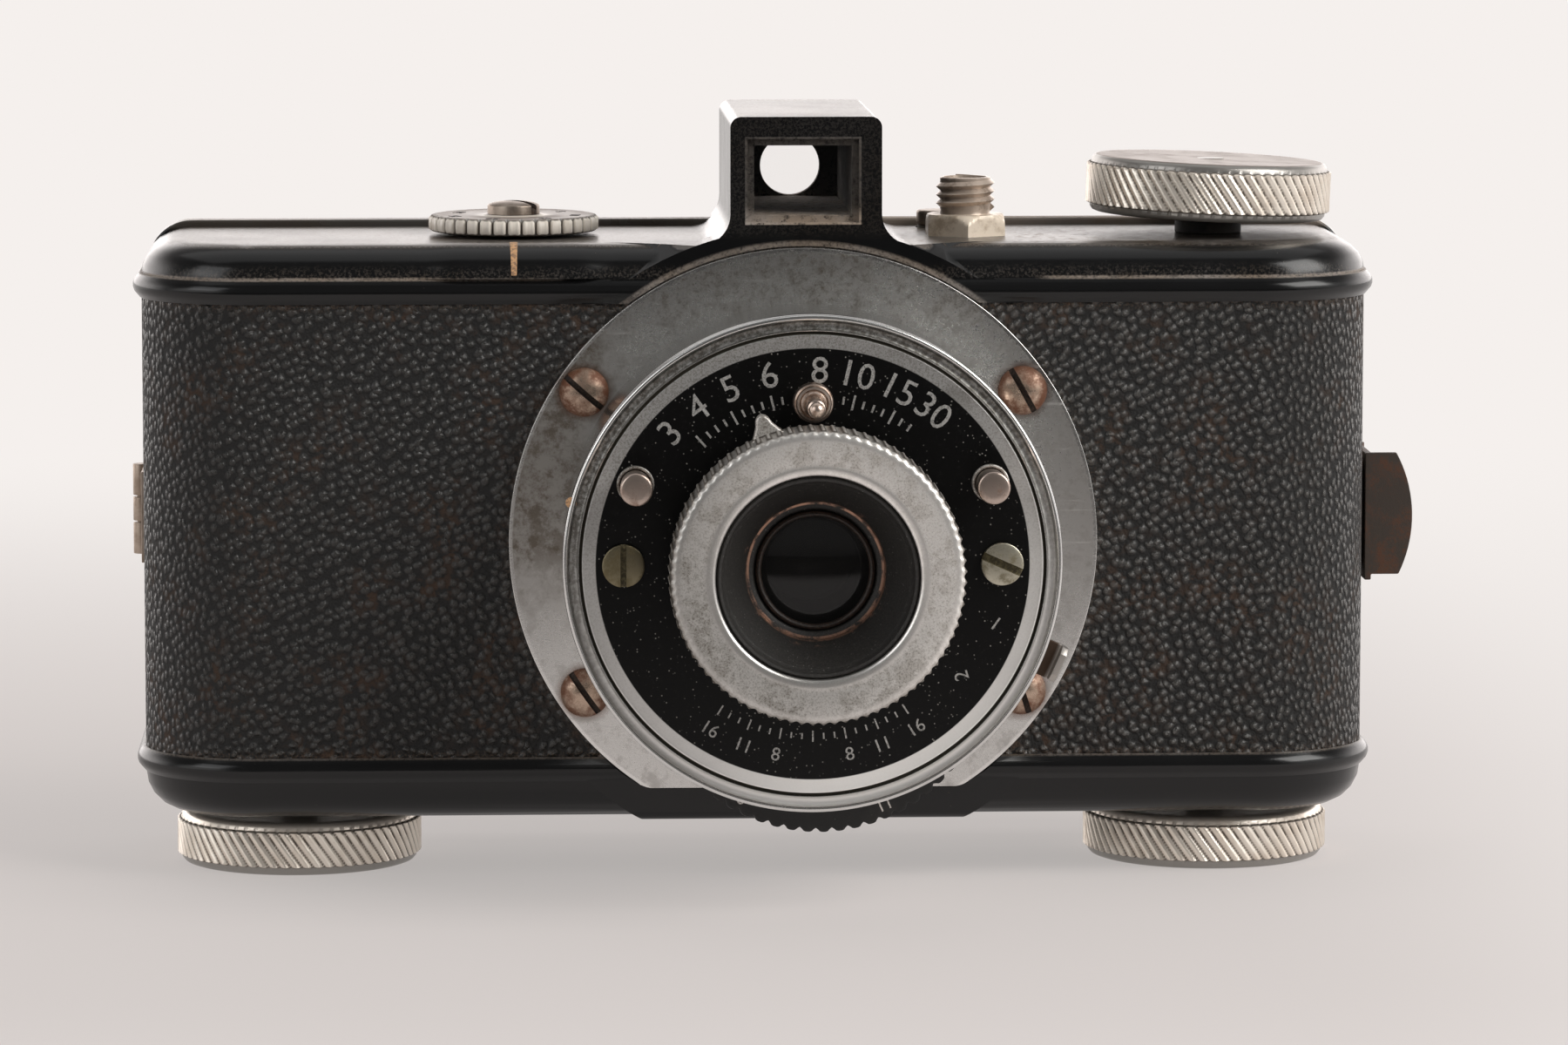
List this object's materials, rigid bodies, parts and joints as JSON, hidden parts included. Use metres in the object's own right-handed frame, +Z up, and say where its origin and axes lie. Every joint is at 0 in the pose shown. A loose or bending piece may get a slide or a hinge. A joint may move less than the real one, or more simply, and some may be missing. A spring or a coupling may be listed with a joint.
{
  "type": "miniature film camera",
  "caption": "Small camera for perforated roll film: moulded body, swinging back, milled knobs, a focusing lens in a round shutter housing.",
  "frame": {"origin": "on the surface that the camera stands on, under the middle of its bounding box", "axes": "+X to the right as seen from the front, +Y from the lens towards the back, +Z up"},
  "size_m": [0.1342, 0.0646, 0.0783],
  "materials": {
    "moulded_plastic": "moulded, worn gloss",
    "leatherette": "pebbled, with brown specks",
    "glass": "clear, dusty",
    "satin_plate": "bright, worn",
    "black_enamel": "black enamel, speckled",
    "focus_alloy": "milled, oxidised",
    "rusty_steel": "plating lost to rust",
    "worn_nickel": "tarnished nickel plating",
    "worn_brass": "worn plating over brass",
    "steel": "plain",
    "fibre": "dark"
  },
  "bodies": {
    "camera": {"body_shell": "moulded_plastic", "left_leatherette": "leatherette", "right_leatherette": "leatherette", "finder_front_lens": "glass", "finder_eye_lens": "glass", "lens_plate": "satin_plate", "plate_screws": "rusty_steel", "shutter_housing": "satin_plate", "face_plate": "black_enamel", "face_screws": "worn_brass", "flash_pins": "worn_brass", "pin_insulators": "fibre", "focus_stop_pin": "worn_brass", "shutter_base": "black_enamel", "aperture_axle": "steel", "lens_mount": "black_enamel", "light_box": "black_enamel", "film_rails": "satin_plate", "counter_screw": "worn_nickel", "release_collar": "worn_brass", "release_spring": "steel", "film_release_spring": "steel", "winding_bush": "fibre", "hinge_body_leaf": "rusty_steel", "hinge_pin": "rusty_steel", "latch_catch": "worn_nickel"},
    "door": {"back_door": "moulded_plastic", "door_leatherette": "leatherette", "pressure_plate": "black_enamel", "pressure_spring": "steel", "hinge_door_leaf": "rusty_steel", "latch_bracket": "rusty_steel", "latch_pin": "rusty_steel"},
    "latch": {"latch_strap": "rusty_steel"},
    "winding": {"winding_knob": "worn_nickel", "winding_spindle": "steel", "ratchet_wheel": "steel", "take_up_spool": "fibre"},
    "pawl": {"ratchet_pawl": "steel"},
    "rewind_sleeve": {"rewind_sleeve": "fibre"},
    "rewind": {"rewind_knob": "worn_nickel", "rewind_spindle": "steel"},
    "spool_sleeve": {"spool_sleeve": "fibre"},
    "spool_hold": {"spool_knob": "worn_nickel", "spool_spindle": "steel"},
    "sprocket": {"film_sprocket": "steel", "counter_driver": "steel"},
    "counter": {"counter_dial": "worn_nickel"},
    "release": {"release_plunger": "steel", "release_arm": "steel"},
    "leaf": {"shutter_leaf": "black_enamel"},
    "film_release": {"film_release_button": "worn_nickel"},
    "focus_cell": {"lens_cell": "black_enamel", "front_element": "glass", "rear_element": "glass", "retaining_ring": "worn_brass"},
    "focus": {"focus_ring": "focus_alloy"},
    "aperture": {"aperture_wheel": "black_enamel"},
    "speed": {"speed_lever": "worn_brass"}
  },
  "joints": [
    {"name": "door_swing", "type": "hinge", "parent": "camera", "child": "door", "pos_m": [-0.06623, 0.02728, 0.035], "axis": [0, 0, 1], "range_deg": [0, 120]},
    {"name": "latch_swing", "type": "hinge", "parent": "door", "child": "latch", "pos_m": [0.06243, 0.0299, 0.035], "axis": [0, 0, 1], "range_deg": [0, 60]},
    {"name": "winding_turn", "type": "hinge", "parent": "camera", "child": "winding", "pos_m": [0.04523, 0.01585, 0.07], "axis": [0, 0, 1], "continuous": true},
    {"name": "pawl_lift", "type": "hinge", "parent": "camera", "child": "pawl", "pos_m": [0.03862, 0.00925, 0.061], "axis": [0, 0, 1], "range_deg": [0, 10], "stiffness_Nm_per_rad": 0.002, "springref_deg": -5.73},
    {"name": "rewind_turn", "type": "hinge", "parent": "camera", "child": "rewind_sleeve", "pos_m": [-0.04958, 0.01585, 0.008], "axis": [0, 0, 1], "continuous": true},
    {"name": "rewind_pull", "type": "slide", "parent": "rewind_sleeve", "child": "rewind", "axis": [0, 0, -1], "range_m": [0, 0.008]},
    {"name": "spool_turn", "type": "hinge", "parent": "camera", "child": "spool_sleeve", "pos_m": [0.04523, 0.01585, 0.008], "axis": [0, 0, 1], "continuous": true},
    {"name": "spool_pull", "type": "slide", "parent": "spool_sleeve", "child": "spool_hold", "axis": [0, 0, -1], "range_m": [0, 0.008]},
    {"name": "sprocket_turn", "type": "hinge", "parent": "camera", "child": "sprocket", "pos_m": [-0.03033, 0.01985, 0.035], "axis": [0, 0, 1], "continuous": true},
    {"name": "counter_turn", "type": "hinge", "parent": "camera", "child": "counter", "pos_m": [-0.02697, 0.01585, 0.066], "axis": [0, 0, 1], "continuous": true},
    {"name": "release_press", "type": "slide", "parent": "camera", "child": "release", "axis": [0, 0, -1], "range_m": [0, 0.002], "stiffness_N_per_m": 400, "springref_m": -0.002, "deforming": ["release_spring"]},
    {"name": "leaf_swing", "type": "hinge", "parent": "camera", "child": "leaf", "pos_m": [0.01578, -0.00335, 0.0445], "axis": [0, -1, 0], "range_deg": [0, 26.5]},
    {"name": "film_release_press", "type": "slide", "parent": "camera", "child": "film_release", "axis": [0, 0, -1], "range_m": [0, 0.0011], "stiffness_N_per_m": 300, "springref_m": -0.001, "deforming": ["film_release_spring"]},
    {"name": "focus_turn", "type": "hinge", "parent": "focus_cell", "child": "focus", "pos_m": [0.00228, -0.02865, 0.035], "axis": [0, -1, 0], "range_deg": [-10, 328]},
    {"name": "focus_travel", "type": "slide", "parent": "camera", "child": "focus_cell", "axis": [0, -1, 0], "range_m": [-0.00006, 0.00252]},
    {"name": "aperture_turn", "type": "hinge", "parent": "camera", "child": "aperture", "pos_m": [0.00367, -0.00665, 0.0235], "axis": [0, 1, 0], "continuous": true},
    {"name": "speed_set", "type": "hinge", "parent": "camera", "child": "speed", "pos_m": [0.00228, -0.01205, 0.035], "axis": [0, 1, 0], "range_deg": [0, 18]}
  ],
  "couplings": [
    {"joint": "counter_turn", "follows": "sprocket_turn", "ratio": 0.027778},
    {"joint": "leaf_swing", "follows": "release_press", "rad_per_m": 226.9},
    {"joint": "focus_turn", "follows": "focus_travel", "rad_per_m": 2244}
  ]
}
